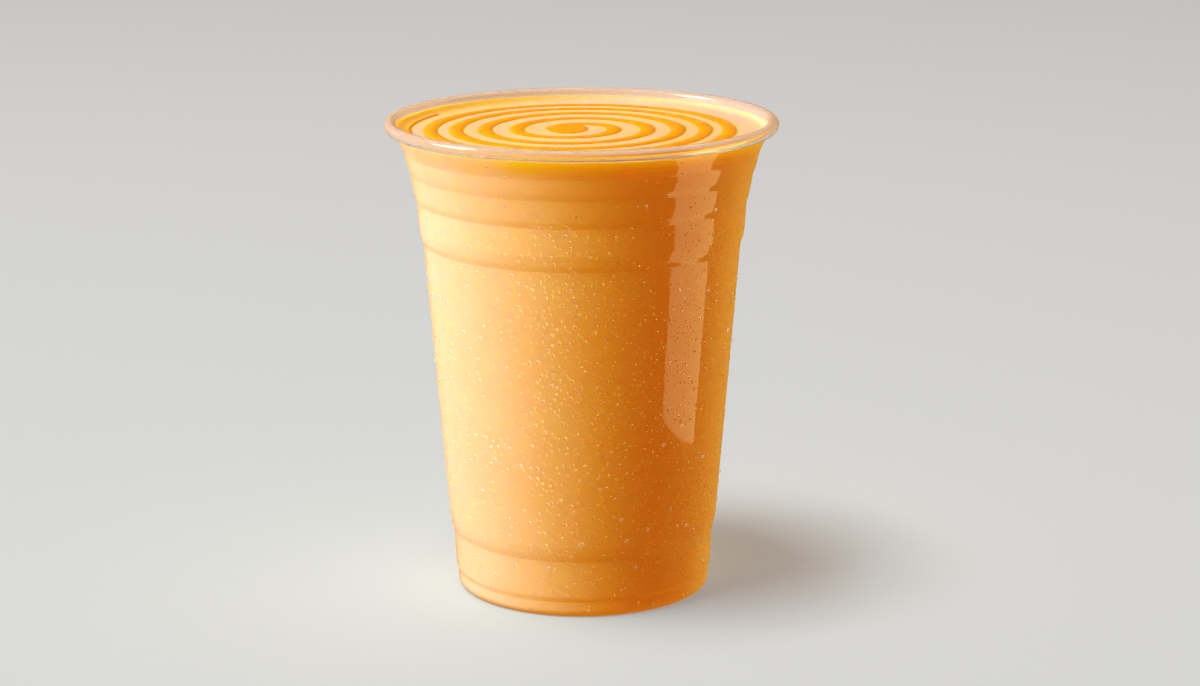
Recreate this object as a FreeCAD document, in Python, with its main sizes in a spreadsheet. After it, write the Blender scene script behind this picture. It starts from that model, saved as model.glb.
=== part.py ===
"""Mango lassi in a clear thermoformed plastic cup.

Millimetres, +Z up. The origin is the centre of the circle that the cup's foot stands on.

Three pieces, each a solid of its own:
    cup          thin-walled tapered tumbler with stacking shoulders, a raised base and a rolled rim
    lassi        the drink, which takes the shape of the cup's inside up to its level
    mango_swirl  a ribbon of mango sauce laid in a spiral, inlaid in the top of the drink
"""

import FreeCAD
import Part
import Sketcher
import math
import os

PARTS_FOLDER = "parts"
MATCH = 1e-4            # how near two lengths are to be taken as equal, in millimetres
SWIRL_HALF_TURNS = 10   # full half-turns of the ribbon, before its tail

# Driving sizes: alias, value (millimetres, or degrees where said) and meaning.
SIZES = [
    ("rim_diameter", 98.0, "outside of the rolled rim"),
    ("cup_height", 120.2, "from the foot to the crest of the rim"),
    ("foot_diameter", 64.0, "outside of the foot"),
    ("wall_thickness", 0.6, "plastic wall, everywhere"),

    ("foot_height", 3.9, "upright wall of the foot"),
    ("foot_edge_radius", 2.2, "rounded outer edge of the foot"),
    ("foot_ring_width", 4.6, "from the outside of the foot to the inside of its standing ring"),
    ("foot_ring_lean", 1.0, "how far the ring's inner wall leans inwards over its height"),
    ("foot_ring_radius", 1.2, "rounding of the ring's inner edges"),
    ("base_rise", 3.0, "height of the raised base over the ground"),

    ("ankle_rise", 1.3, "height of the small step over the foot"),
    ("ankle_step", 0.5, "how far that step stands out"),
    ("ankle_radius", 1.0, "softening of that step's edges"),
    ("heel_height", 12.9, "ground to the lower edge of the heel shoulder"),
    ("heel_draft", 0.45, "how far the heel band widens over its height"),
    ("heel_rise", 3.7, "height of the heel shoulder's slope"),
    ("heel_step", 0.93, "how far the heel shoulder stands out"),

    ("lower_root_depth", 33.0, "lower shoulder: lower edge, below the crest"),
    ("lower_root_inset", 6.95, "lower shoulder: lower edge, inside the lip"),
    ("lower_top_depth", 27.0, "lower shoulder: upper edge, below the crest"),
    ("lower_top_inset", 5.8, "lower shoulder: upper edge, inside the lip"),
    ("middle_root_depth", 21.3, "middle shoulder: lower edge, below the crest"),
    ("middle_root_inset", 5.45, "middle shoulder: lower edge, inside the lip"),
    ("middle_top_depth", 17.2, "middle shoulder: upper edge, below the crest"),
    ("middle_top_inset", 4.45, "middle shoulder: upper edge, inside the lip"),
    ("upper_root_depth", 13.8, "upper shoulder: lower edge, below the crest"),
    ("upper_root_inset", 3.85, "upper shoulder: lower edge, inside the lip"),
    ("upper_top_depth", 9.9, "upper shoulder: upper edge, below the crest"),
    ("upper_top_inset", 2.65, "upper shoulder: upper edge, inside the lip"),
    ("flare_depth", 7.9, "start of the flare under the rim, below the crest"),
    ("flare_inset", 2.2, "start of the flare under the rim, inside the lip"),
    ("lip_depth", 3.0, "end of the flare, below the crest"),
    ("shoulder_radius", 4.0, "softening of every shoulder edge"),

    ("curl_radius", 1.5, "outside radius of the rolled rim's section"),
    ("curl_turn", 290.0, "degrees through which the rim is rolled"),

    ("fill_depth", 3.1, "surface of the drink, below the crest"),
    ("sauce_depth", 1.2, "how deep the sauce lies in the drink"),
    ("sauce_crown", 0.3, "how far the sauce stands over the drink"),
    ("ribbon_width", 3.5, "width of the ribbon of sauce"),
    ("swirl_start_radius", 7.8, "middle line of the ribbon's first half-turn"),
    ("swirl_start_offset", 0.4, "centre of that half-turn, to the right of the axis"),
    ("swirl_bulge", 2.5, "how far the middle turns lie outside an even spiral"),
    ("swirl_margin", 1.1, "room between the last half-turn and the cup, at the foot of the sauce"),
    ("tail_turn", 70.0, "degrees that the ribbon's tail runs on after its last half-turn"),
    ("pool_radius", 7.25, "pool of sauce at the middle"),
    ("pool_offset", -2.25, "centre of the pool, to the left of the axis"),
]

# Corners of the cup's outer face, from the raised base up to the lip: name, radius and height.
WALL_CORNERS = [
    ("base_edge", "ring_inside_radius - sizes.foot_ring_lean", "sizes.base_rise"),
    ("ring_inside", "foot_radius - sizes.foot_ring_width", "0"),
    ("foot", "sizes.foot_diameter / 2", "0"),
    ("ankle_root", "foot_radius", "sizes.foot_height"),
    ("ankle_top", "foot_radius + sizes.ankle_step", "ankle_root_height + sizes.ankle_rise"),
    ("heel_root", "ankle_top_radius + sizes.heel_draft", "sizes.heel_height"),
    ("heel_top", "heel_root_radius + sizes.heel_step", "heel_root_height + sizes.heel_rise"),
    ("lower_root", "lip_radius - sizes.lower_root_inset", "sizes.cup_height - sizes.lower_root_depth"),
    ("lower_top", "lip_radius - sizes.lower_top_inset", "sizes.cup_height - sizes.lower_top_depth"),
    ("middle_root", "lip_radius - sizes.middle_root_inset", "sizes.cup_height - sizes.middle_root_depth"),
    ("middle_top", "lip_radius - sizes.middle_top_inset", "sizes.cup_height - sizes.middle_top_depth"),
    ("upper_root", "lip_radius - sizes.upper_root_inset", "sizes.cup_height - sizes.upper_root_depth"),
    ("upper_top", "lip_radius - sizes.upper_top_inset", "sizes.cup_height - sizes.upper_top_depth"),
    ("flare", "lip_radius - sizes.flare_inset", "sizes.cup_height - sizes.flare_depth"),
    ("lip", "curl_centre_radius - sizes.curl_radius + sizes.wall_thickness",
     "sizes.cup_height - sizes.lip_depth"),
    ("lip_top", "lip_radius", "curl_centre_height"),
]

# Centre of the rolled rim's section.
CURL_CENTRE = ("curl_centre", "sizes.rim_diameter / 2 - sizes.curl_radius",
               "sizes.cup_height - sizes.curl_radius")

# From a corner of the outer face into the wall, across and up; it is straight inwards elsewhere.
INTO_WALL = {"base_edge": (1, 1), "ring_inside": (1, 1), "foot": (-1, 1)}
STRAIGHT_INWARDS = (-1, 0)

# The size that rounds each corner. The lip's top alone stays sharp, where the rim joins it.
ROUNDING = {
    "base_edge": "foot_ring_radius",
    "ring_inside": "foot_ring_radius",
    "foot": "foot_edge_radius",
    "ankle_root": "ankle_radius",
    "ankle_top": "ankle_radius",
}
USUAL_ROUNDING = "shoulder_radius"
SHARP_CORNERS = ["lip_top"]


# ---------------------------------------------------------------- sheets

def driving_sheet(doc):
    """The sheet of driving sizes: plain numbers, each with its alias."""
    sheet = doc.addObject("Spreadsheet::Sheet", "sizes")
    for row, (alias, value, meaning) in enumerate(SIZES, start=1):
        sheet.set(f"A{row}", alias)
        sheet.set(f"B{row}", str(value))
        sheet.set(f"C{row}", meaning)
        sheet.setAlias(f"B{row}", alias)
    doc.recompute()
    return sheet


def wall_sheet(doc):
    """The sheet of the corners of the cup's outer face, worked out from the driving sizes."""
    sheet = doc.addObject("Spreadsheet::Sheet", "wall")
    corners = WALL_CORNERS + [CURL_CENTRE]
    for row, (name, _, _) in enumerate(corners, start=1):
        sheet.set(f"A{row}", name)
        sheet.setAlias(f"B{row}", name + "_radius")
        sheet.setAlias(f"C{row}", name + "_height")
    for row, (_, radius, height) in enumerate(corners, start=1):
        sheet.set(f"B{row}", "=" + radius)
        sheet.set(f"C{row}", "=" + height)
    doc.recompute()
    return sheet


def core_sheet(doc):
    """The sheet of the same corners in the middle of the wall's thickness."""
    sheet = doc.addObject("Spreadsheet::Sheet", "core")
    for row, (name, _, _) in enumerate(WALL_CORNERS, start=1):
        across, up = INTO_WALL.get(name, STRAIGHT_INWARDS)
        sheet.set(f"A{row}", name)
        sheet.setAlias(f"B{row}", name + "_radius")
        sheet.setAlias(f"C{row}", name + "_height")
        sheet.set(f"B{row}", f"=wall.{name}_radius + {across} * sizes.wall_thickness / 2")
        sheet.set(f"C{row}", f"=wall.{name}_height + {up} * sizes.wall_thickness / 2")
    doc.recompute()
    return sheet


def spiral_sheet(doc):
    """The sheet of the ribbon's half-turns: radius and centre of each one's middle line.

    Half-turns lie by turns behind and before the X axis and meet on it, so each centre moves along
    that axis by as much as the radius grows, and the line stays smooth. The last row is the tail.
    """
    sheet = doc.addObject("Spreadsheet::Sheet", "spiral")
    sheet.set("E1", "radius inside the cup at the foot of the sauce")
    sheet.set("E2", "=wall.lip_radius - sizes.wall_thickness"
                    " - (wall.lip_radius - wall.flare_radius) / (wall.lip_height - wall.flare_height)"
                    " * max(0; sizes.fill_depth + sizes.sauce_depth - sizes.lip_depth)")
    sheet.setAlias("E2", "room")
    last_radius = "(room - sizes.swirl_margin - sizes.ribbon_width / 2)"
    for turn in range(SWIRL_HALF_TURNS + 1):
        part = turn / SWIRL_HALF_TURNS
        sheet.set(f"A{turn + 1}", f"half-turn {turn}")
        sheet.setAlias(f"B{turn + 1}", f"turn_{turn}_radius")
        sheet.setAlias(f"C{turn + 1}", f"turn_{turn}_centre")
        sheet.set(f"B{turn + 1}", f"=sizes.swirl_start_radius * {1 - part:.3f} + {last_radius} * {part:.3f}"
                                  f" + 4 * sizes.swirl_bulge * {part * (1 - part):.3f}")
    sheet.set("C1", "=sizes.swirl_start_offset")
    for turn in range(1, SWIRL_HALF_TURNS + 1):
        sign = "-" if turn % 2 else "+"
        sheet.set(f"C{turn + 1}", f"=turn_{turn - 1}_centre"
                                  f" {sign} (turn_{turn}_radius - turn_{turn - 1}_radius)")
    doc.recompute()
    return sheet


# ---------------------------------------------------------------- sketches

def sketch_on(body, name, plane_role):
    """A sketch attached to one of the body's own origin planes."""
    plane = next(item for item in body.Origin.OriginFeatures if item.Role == plane_role)
    sketch = body.newObject("Sketcher::SketchObject", name)
    sketch.AttachmentSupport = [(plane, "")]
    sketch.MapMode = "FlatFace"
    return sketch


def bind(sketch, constraint, expression):
    """Add a constraint and tie its value to an expression."""
    index = sketch.addConstraint(constraint)
    sketch.setExpression(f"Constraints[{index}]", expression)


def pin(sketch, geometry, point, across, up):
    """Hold a point of the sketch at (across, up).

    Each is a pair of a value and the expression that gives it, or None on the sketch's axis.
    """
    for direction, axis, place in (("DistanceX", -2, across), ("DistanceY", -1, up)):
        if place is None:
            sketch.addConstraint(Sketcher.Constraint("PointOnObject", geometry, point, axis))
        else:
            value, expression = place
            bind(sketch, Sketcher.Constraint(direction, -1, 1, geometry, point, value), expression)


def draw_outline(sketch, corners):
    """Draw a closed outline of straight lines that meet at corners, some of them rounded.

    A corner is (across, up, rounding): a place as pin takes it, and None or the rounding's pair of
    radius and expression. A rounded corner is pinned where its two lines would meet.
    """
    places = [FreeCAD.Vector(across[0] if across else 0, up[0] if up else 0, 0)
              for across, up, _ in corners]
    starts, ends, arcs = [], [], []
    for index, (_, _, rounding) in enumerate(corners):
        place = places[index]
        before = (places[index - 1] - place).normalize()
        after = (places[(index + 1) % len(places)] - place).normalize()
        if rounding is None:
            ends.append(place)
            starts.append(place)
            arcs.append(None)
            continue
        half_angle = before.getAngle(after) / 2
        ends.append(place + before * (rounding[0] / math.tan(half_angle)))
        starts.append(place + after * (rounding[0] / math.tan(half_angle)))
        centre = place + (before + after).normalize() * (rounding[0] / math.sin(half_angle))
        turns_left = before.cross(after).z < 0
        first, last = (ends[-1], starts[-1]) if turns_left else (starts[-1], ends[-1])
        middle = centre + (place - centre).normalize() * rounding[0]
        arcs.append((Part.Arc(first, middle, last), turns_left))

    lines = [sketch.addGeometry(Part.LineSegment(starts[index], ends[(index + 1) % len(ends)]))
             for index in range(len(corners))]
    for index, (across, up, rounding) in enumerate(corners):
        line_in, line_out = lines[index - 1], lines[index]
        if rounding is None:
            sketch.addConstraint(Sketcher.Constraint("Coincident", line_in, 2, line_out, 1))
            pin(sketch, line_out, 1, across, up)
            continue
        shape, turns_left = arcs[index]
        edge = sketch.addGeometry(shape)
        arrival, departure = (1, 2) if turns_left else (2, 1)
        sketch.addConstraint(Sketcher.Constraint("Tangent", line_in, 2, edge, arrival))
        sketch.addConstraint(Sketcher.Constraint("Tangent", edge, departure, line_out, 1))
        bind(sketch, Sketcher.Constraint("Radius", edge, rounding[0]), rounding[1])
        mark = sketch.addGeometry(Part.Point(places[index]), True)
        sketch.addConstraint(Sketcher.Constraint("PointOnObject", mark, 1, line_in))
        sketch.addConstraint(Sketcher.Constraint("PointOnObject", mark, 1, line_out))
        pin(sketch, mark, 1, across, up)


def draw_arc(sketch, centre, radius, start, end):
    """Draw an arc anticlockwise from start to end, in degrees, and return its number."""
    circle = Part.Circle(FreeCAD.Vector(*centre, 0), FreeCAD.Vector(0, 0, 1), radius)
    return sketch.addGeometry(Part.ArcOfCircle(circle, math.radians(start), math.radians(end)))


def revolve(body, name, sketch):
    """Turn a sketch of the XZ plane once round the Z axis."""
    feature = body.newObject("PartDesign::Revolution", name)
    feature.Profile = sketch
    feature.ReferenceAxis = (sketch, ["V_Axis"])
    feature.Angle = 360
    return feature


# ---------------------------------------------------------------- the cup

def corner(corners, sizes, name):
    """A corner of the wall as draw_outline takes it: a height of nothing lies on the ground."""
    radius = corners.get(name + "_radius")
    height = corners.get(name + "_height")
    across = (radius, f"{corners.Name}.{name}_radius")
    up = (height, f"{corners.Name}.{name}_height") if abs(height) > MATCH else None
    if name in SHARP_CORNERS:
        return across, up, None
    size = ROUNDING.get(name, USUAL_ROUNDING)
    return across, up, (sizes.get(size), f"sizes.{size}")


def tumbler_form(doc, body, corners, sizes):
    """A solid tumbler through a sheet's corners, from under its raised base to the top of its lip."""
    sketch = sketch_on(body, body.Name + "_section", "XZ_Plane")
    outline = [corner(corners, sizes, name) for name, _, _ in WALL_CORNERS]
    base_centre = (None, outline[0][1], None)
    top_centre = (None, outline[-1][1], None)
    draw_outline(sketch, [base_centre] + outline + [top_centre])
    feature = revolve(body, body.Name + "_form", sketch)
    doc.recompute()
    return feature


def hollow_out(doc, body, form, wall):
    """Open the form at its top face and leave a wall of even thickness."""
    top = wall.get("lip_top_height")
    mouth = [f"Face{number}" for number, face in enumerate(form.Shape.Faces, start=1)
             if abs(face.CenterOfMass.z - top) < MATCH]
    shell = body.newObject("PartDesign::Thickness", "wall_of_cup")
    shell.Base = (form, mouth)
    shell.setExpression("Value", "sizes.wall_thickness")
    shell.Mode = "Skin"
    shell.Join = "Arc"
    shell.Reversed = True
    doc.recompute()
    return shell


def roll_rim(doc, body, wall, sizes):
    """Roll the rim outwards from the top of the lip: a turned hook of the wall's thickness."""
    sketch = sketch_on(body, "rim_section", "XZ_Plane")
    centre = (wall.get("curl_centre_radius"), wall.get("curl_centre_height"))
    outside = sizes.get("curl_radius")
    inside = outside - sizes.get("wall_thickness")
    curl_end = 180 - sizes.get("curl_turn")
    outer = draw_arc(sketch, centre, outside, curl_end, 180)
    inner = draw_arc(sketch, centre, inside, curl_end, 180)
    ends = []
    for angle in (180, curl_end):
        direction = FreeCAD.Vector(math.cos(math.radians(angle)), math.sin(math.radians(angle)), 0)
        middle = FreeCAD.Vector(*centre, 0)
        ends.append(sketch.addGeometry(Part.LineSegment(middle + direction * inside,
                                                        middle + direction * outside)))
    root, tip = ends
    pin(sketch, outer, 3, (centre[0], "wall.curl_centre_radius"), (centre[1], "wall.curl_centre_height"))
    sketch.addConstraint(Sketcher.Constraint("Coincident", inner, 3, outer, 3))
    bind(sketch, Sketcher.Constraint("Radius", outer, outside), "sizes.curl_radius")
    bind(sketch, Sketcher.Constraint("Radius", inner, inside), "sizes.curl_radius - sizes.wall_thickness")
    for line, arc_end in ((root, 2), (tip, 1)):
        sketch.addConstraint(Sketcher.Constraint("Coincident", line, 1, inner, arc_end))
        sketch.addConstraint(Sketcher.Constraint("Coincident", line, 2, outer, arc_end))
    sketch.addConstraint(Sketcher.Constraint("Horizontal", root))
    bind(sketch, Sketcher.Constraint("Angle", tip, math.radians(curl_end)),
         "(180 - sizes.curl_turn) * 1 deg")
    rim = revolve(body, "rolled_rim", sketch)
    doc.recompute()
    return rim


def make_cup(doc, wall, sizes):
    """The thermoformed cup."""
    body = doc.addObject("PartDesign::Body", "cup")
    form = tumbler_form(doc, body, wall, sizes)
    hollow_out(doc, body, form, wall)
    body.Tip = roll_rim(doc, body, wall, sizes)
    doc.recompute()
    return body


# ---------------------------------------------------------------- the sauce

def lift(sketch):
    """Raise a sketch of the XY plane to the floor of the groove that the sauce lies in."""
    sketch.setExpression("AttachmentOffset.Base.z",
                         "sizes.cup_height - sizes.fill_depth - sizes.sauce_depth")


def pad(body, name, sketch):
    """Pad a sketch by the whole thickness of the sauce."""
    feature = body.newObject("PartDesign::Pad", name)
    feature.Profile = sketch
    feature.setExpression("Length", "sizes.sauce_depth + sizes.sauce_crown")
    return feature


def draw_ribbon_edge(sketch, spiral, sizes, side):
    """Draw the ribbon's outer (side 1) or inner (side -1) edge and return its first and last arc.

    Each half-turn is an arc about a centre on the X axis, from that axis back to it. Even ones lie
    behind the axis. The last is the tail, which stops short.
    """
    sign = "+" if side > 0 else "-"
    arcs = []
    for turn in range(SWIRL_HALF_TURNS + 1):
        is_tail = turn == SWIRL_HALF_TURNS
        end = 360 if turn % 2 else 180
        start = end - (sizes.get("tail_turn") if is_tail else 180)
        centre = spiral.get(f"turn_{turn}_centre")
        radius = spiral.get(f"turn_{turn}_radius") + side * sizes.get("ribbon_width") / 2
        edge = draw_arc(sketch, (centre, 0), radius, start, end)
        pin(sketch, edge, 3, (centre, f"spiral.turn_{turn}_centre"), None)
        bind(sketch, Sketcher.Constraint("Radius", edge, radius),
             f"spiral.turn_{turn}_radius {sign} sizes.ribbon_width / 2")
        sketch.addConstraint(Sketcher.Constraint("PointOnObject", edge, 2, -1))
        if not is_tail:
            sketch.addConstraint(Sketcher.Constraint("PointOnObject", edge, 1, -1))
        arcs.append(edge)
    return arcs[0], arcs[-1]


def cap_ribbon(sketch, spiral, sizes, outer, inner):
    """Close the ribbon with a half-round cap at each end; outer and inner are its first and last arcs."""
    half_width = sizes.get("ribbon_width") / 2
    first = (spiral.get("turn_0_centre") - spiral.get("turn_0_radius"), 0)
    start_cap = draw_arc(sketch, first, half_width, 180, 360)
    sketch.addConstraint(Sketcher.Constraint("PointOnObject", start_cap, 3, -1))
    sketch.addConstraint(Sketcher.Constraint("Coincident", start_cap, 1, outer[0], 2))
    sketch.addConstraint(Sketcher.Constraint("Coincident", start_cap, 2, inner[0], 2))

    centre = spiral.get(f"turn_{SWIRL_HALF_TURNS}_centre")
    radius = spiral.get(f"turn_{SWIRL_HALF_TURNS}_radius")
    tail_end = 180 - sizes.get("tail_turn")
    across = centre + radius * math.cos(math.radians(tail_end))
    back = radius * math.sin(math.radians(tail_end))
    spoke = sketch.addGeometry(Part.LineSegment(FreeCAD.Vector(centre, 0, 0),
                                                FreeCAD.Vector(across, back, 0)), True)
    tail_cap = draw_arc(sketch, (across, back), half_width, tail_end - 180, tail_end)
    sketch.addConstraint(Sketcher.Constraint("Coincident", spoke, 1, outer[1], 3))
    bind(sketch, Sketcher.Constraint("Angle", spoke, math.radians(tail_end)),
         "(180 - sizes.tail_turn) * 1 deg")
    sketch.addConstraint(Sketcher.Constraint("Coincident", spoke, 2, tail_cap, 3))
    sketch.addConstraint(Sketcher.Constraint("PointOnObject", outer[1], 1, spoke))
    sketch.addConstraint(Sketcher.Constraint("Coincident", tail_cap, 1, inner[1], 1))
    sketch.addConstraint(Sketcher.Constraint("Coincident", tail_cap, 2, outer[1], 1))


def make_swirl(doc, spiral, sizes):
    """The ribbon of mango sauce, with the pool that it starts from."""
    body = doc.addObject("PartDesign::Body", "mango_swirl")
    outline = sketch_on(body, "ribbon_outline", "XY_Plane")
    lift(outline)
    outer = draw_ribbon_edge(outline, spiral, sizes, 1)
    inner = draw_ribbon_edge(outline, spiral, sizes, -1)
    cap_ribbon(outline, spiral, sizes, outer, inner)
    pad(body, "ribbon", outline)

    circle = sketch_on(body, "pool_outline", "XY_Plane")
    lift(circle)
    middle = sizes.get("pool_offset")
    radius = sizes.get("pool_radius")
    edge = circle.addGeometry(Part.Circle(FreeCAD.Vector(middle, 0, 0), FreeCAD.Vector(0, 0, 1), radius))
    pin(circle, edge, 3, (middle, "sizes.pool_offset"), None)
    bind(circle, Sketcher.Constraint("Radius", edge, radius), "sizes.pool_radius")
    body.Tip = pad(body, "pool", circle)
    doc.recompute()
    return body


# ---------------------------------------------------------------- the drink

def make_lassi(doc, core, sizes, cup, swirl):
    """The drink: a form that ends inside the wall, up to the level, less the cup and the sauce."""
    body = doc.addObject("PartDesign::Body", "drink_form")
    tumbler_form(doc, body, core, sizes)
    level = doc.addObject("Part::Cylinder", "up_to_the_level")
    level.setExpression("Radius", "sizes.rim_diameter / 2")
    level.setExpression("Height", "sizes.cup_height - sizes.fill_depth")
    filled = doc.addObject("Part::Common", "filled_form")
    filled.Base = body
    filled.Tool = level
    poured = doc.addObject("Part::Cut", "poured_drink")
    poured.Base = filled
    poured.Tool = cup
    lassi = doc.addObject("Part::Cut", "lassi")
    lassi.Base = poured
    lassi.Tool = swirl
    doc.recompute()
    return lassi


# ---------------------------------------------------------------- the whole

def check(doc, pieces):
    """Stop where an object of the document failed or a piece isn't one valid solid."""
    for item in doc.Objects:
        if "Invalid" in item.State or "Error" in item.State:
            raise RuntimeError(f"{item.Name} failed: {item.State}")
    for piece in pieces:
        shape = piece.Shape
        if shape.isNull() or not shape.isValid() or len(shape.Solids) != 1:
            raise RuntimeError(f"{piece.Label} is not one valid solid")


def main():
    """Build the pieces and write each to its own file."""
    doc = FreeCAD.newDocument("mango_lassi")
    sizes = driving_sheet(doc)
    wall = wall_sheet(doc)
    core = core_sheet(doc)
    spiral = spiral_sheet(doc)
    cup = make_cup(doc, wall, sizes)
    swirl = make_swirl(doc, spiral, sizes)
    lassi = make_lassi(doc, core, sizes, cup, swirl)
    pieces = [cup, lassi, swirl]
    for piece in pieces:
        piece.Label = piece.Name
        piece.Placement = FreeCAD.Placement()
    doc.recompute()
    check(doc, pieces)
    os.makedirs(PARTS_FOLDER, exist_ok=True)
    for piece in pieces:
        piece.Shape.exportStep(os.path.join(PARTS_FOLDER, piece.Label + ".step"))
        print(f"{piece.Label}: {piece.Shape.Volume / 1000:.2f} ml")


main()
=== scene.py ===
"""Mango lassi in a clear plastic cup: the looks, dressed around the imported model.

Sizes in the classes are millimetres and degrees. Blender works in metres, so a length passes
through MM on its way into a mesh.
"""
import logging
import math
import random
from contextlib import contextmanager
from dataclasses import dataclass
from enum import Enum
from itertools import product
from typing import Callable, Iterator, Sequence

import bpy
import numpy as np
from mathutils import Matrix, Vector, noise


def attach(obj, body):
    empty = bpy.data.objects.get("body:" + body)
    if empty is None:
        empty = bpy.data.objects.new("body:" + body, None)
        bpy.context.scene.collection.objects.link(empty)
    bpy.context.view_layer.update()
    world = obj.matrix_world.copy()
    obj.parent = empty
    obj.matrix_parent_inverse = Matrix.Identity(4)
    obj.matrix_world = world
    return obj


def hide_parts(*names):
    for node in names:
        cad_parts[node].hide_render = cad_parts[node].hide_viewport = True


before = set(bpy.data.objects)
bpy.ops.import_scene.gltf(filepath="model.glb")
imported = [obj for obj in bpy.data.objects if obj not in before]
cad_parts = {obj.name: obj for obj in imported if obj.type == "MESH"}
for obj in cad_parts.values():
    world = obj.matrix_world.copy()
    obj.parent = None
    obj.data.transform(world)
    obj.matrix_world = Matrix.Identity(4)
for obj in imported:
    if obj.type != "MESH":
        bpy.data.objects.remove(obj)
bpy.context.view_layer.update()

MM = 0.001
LIFE = 20261123

Point = tuple[float, float]
Colour = tuple[float, float, float, float]

log = logging.getLogger("mango lassi")


# ---------------------------------------------------------------- shop tools

def smooth_step(low: float, high: float, value: float) -> float:
    """Rises softly from 0 to 1.

    Args:
        low: where it leaves 0.
        high: where it reaches 1.
        value: the place to read.

    Returns:
        A share from 0 to 1.
    """
    share = min(1.0, max(0.0, (value - low) / (high - low)))
    return share * share * (3 - 2 * share)


def clear_bench() -> None:
    """Leaves edit mode and deselects every object."""
    if bpy.context.object and bpy.context.object.mode != "OBJECT":
        bpy.ops.object.mode_set(mode="OBJECT")
    bpy.ops.object.select_all(action="DESELECT")


def pick(piece: bpy.types.Object) -> None:
    """Makes one piece the only selected and active one."""
    clear_bench()
    piece.select_set(True)
    bpy.context.view_layer.objects.active = piece


@contextmanager
def whole_mesh() -> Iterator[None]:
    """Opens the active piece's mesh in edit mode, with all of it selected, and closes it again."""
    bpy.ops.object.mode_set(mode="EDIT")
    bpy.ops.mesh.select_all(action="SELECT")
    yield
    bpy.ops.object.mode_set(mode="OBJECT")


def name_piece(name: str) -> bpy.types.Object:
    """Names the piece that was made last, and its mesh.

    Args:
        name: the new name of both.

    Returns:
        The piece.
    """
    piece = bpy.context.object
    piece.name = name
    piece.data.name = name
    return piece


def apply_modifier(piece: bpy.types.Object, kind: str, **settings) -> None:
    """Gives a piece a modifier and applies it.

    Args:
        piece: the piece that gets it.
        kind: Blender's name of the modifier's kind.
        settings: the modifier's own values.
    """
    pick(piece)
    modifier = piece.modifiers.new(kind.title(), kind)
    for key, value in settings.items():
        setattr(modifier, key, value)
    bpy.ops.object.modifier_apply(modifier=modifier.name)


def face_outwards(piece: bpy.types.Object) -> None:
    """Merges what lies at one place and turns every face outwards."""
    pick(piece)
    with whole_mesh():
        bpy.ops.mesh.remove_doubles(threshold=0.0005 * MM)
        bpy.ops.mesh.normals_make_consistent(inside=False)


def turn_faces_out(piece: bpy.types.Object) -> None:
    """Turns the faces of an open cup outwards, where its lowest face looks up."""
    lowest = min(piece.data.polygons, key=lambda face: face.center.z)
    if lowest.normal.z < 0:
        return
    pick(piece)
    with whole_mesh():
        bpy.ops.mesh.flip_normals()


def smooth_shade(piece: bpy.types.Object, angle: float = 40.0) -> None:
    """Shades a piece smooth, with edges sharper than the angle kept."""
    pick(piece)
    bpy.ops.object.shade_smooth_by_angle(angle=math.radians(angle))


def turn_on_lathe(name: str, outline: Sequence[Point], steps: int) -> bpy.types.Object:
    """Turns an outline once round the cup's axis.

    Args:
        name: the piece's name.
        outline: points as radius and height, in millimetres.
        steps: how many slices the full turn has.

    Returns:
        The turned piece.
    """
    clear_bench()
    radius, height = outline[0]
    bpy.ops.mesh.primitive_plane_add(size=MM, location=(radius * MM, 0, height * MM))
    piece = name_piece(name)
    bpy.ops.object.transform_apply(location=True, rotation=True, scale=True)
    with whole_mesh():
        bpy.ops.mesh.merge(type="CENTER")
        for (out, up), (next_out, next_up) in zip(outline, outline[1:]):
            step = ((next_out - out) * MM, 0, (next_up - up) * MM)
            bpy.ops.mesh.extrude_vertices_move(TRANSFORM_OT_translate={"value": step})
        bpy.ops.mesh.select_all(action="SELECT")
        bpy.ops.mesh.spin(steps=steps, angle=math.tau, center=(0, 0, 0), axis=(0, 0, 1))
    face_outwards(piece)
    return piece


# ---------------------------------------------------------------- outlines

@dataclass(frozen=True)
class Corner:
    """A corner of a turned outline, with the radius that rounds it."""

    out: float
    up: float
    rounding: float = 0.0


def inset(corners: Sequence[Corner], distance: float) -> list[Corner]:
    """Moves an outline to its left by an even distance, which is into the wall.

    Args:
        corners: the outline.
        distance: how far every side moves.

    Returns:
        The moved outline, with as many corners.
    """
    ways = [Vector((b.out - a.out, b.up - a.up)).normalized() for a, b in zip(corners, corners[1:])]
    sides = [Vector((-way.y, way.x)) for way in ways]
    moved = []
    for corner, before, after in zip(corners, [sides[0], *sides], [*sides, sides[-1]]):
        shift = (before + after) * (distance / (1 + before.dot(after)))
        moved.append(Corner(corner.out + shift.x, corner.up + shift.y, corner.rounding))
    return moved


def rounded(corners: Sequence[Corner], turn_step: float = 6.0) -> list[Point]:
    """Rounds the corners of an outline with tangent arcs.

    Args:
        corners: the outline.
        turn_step: degrees of turn from one point of an arc to the next.

    Returns:
        The points of the rounded outline.
    """
    points = [(corners[0].out, corners[0].up)]
    for before, corner, after in zip(corners, corners[1:], corners[2:]):
        here = Vector((corner.out, corner.up))
        back = Vector((before.out, before.up)) - here
        ahead = Vector((after.out, after.up)) - here
        turn = math.pi - back.angle(ahead)
        reach = min(corner.rounding * math.tan(turn / 2), 0.48 * back.length, 0.48 * ahead.length)
        if reach < 0.01:
            points.append((corner.out, corner.up))
            continue
        start = here + back.normalized() * reach
        end = here + ahead.normalized() * reach
        count = max(2, math.ceil(math.degrees(turn) / turn_step))
        for k in range(count + 1):
            share = k / count
            bow = start.lerp(here, share).lerp(here.lerp(end, share), share)
            points.append((bow.x, bow.y))
    points.append((corners[-1].out, corners[-1].up))
    return points


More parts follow.
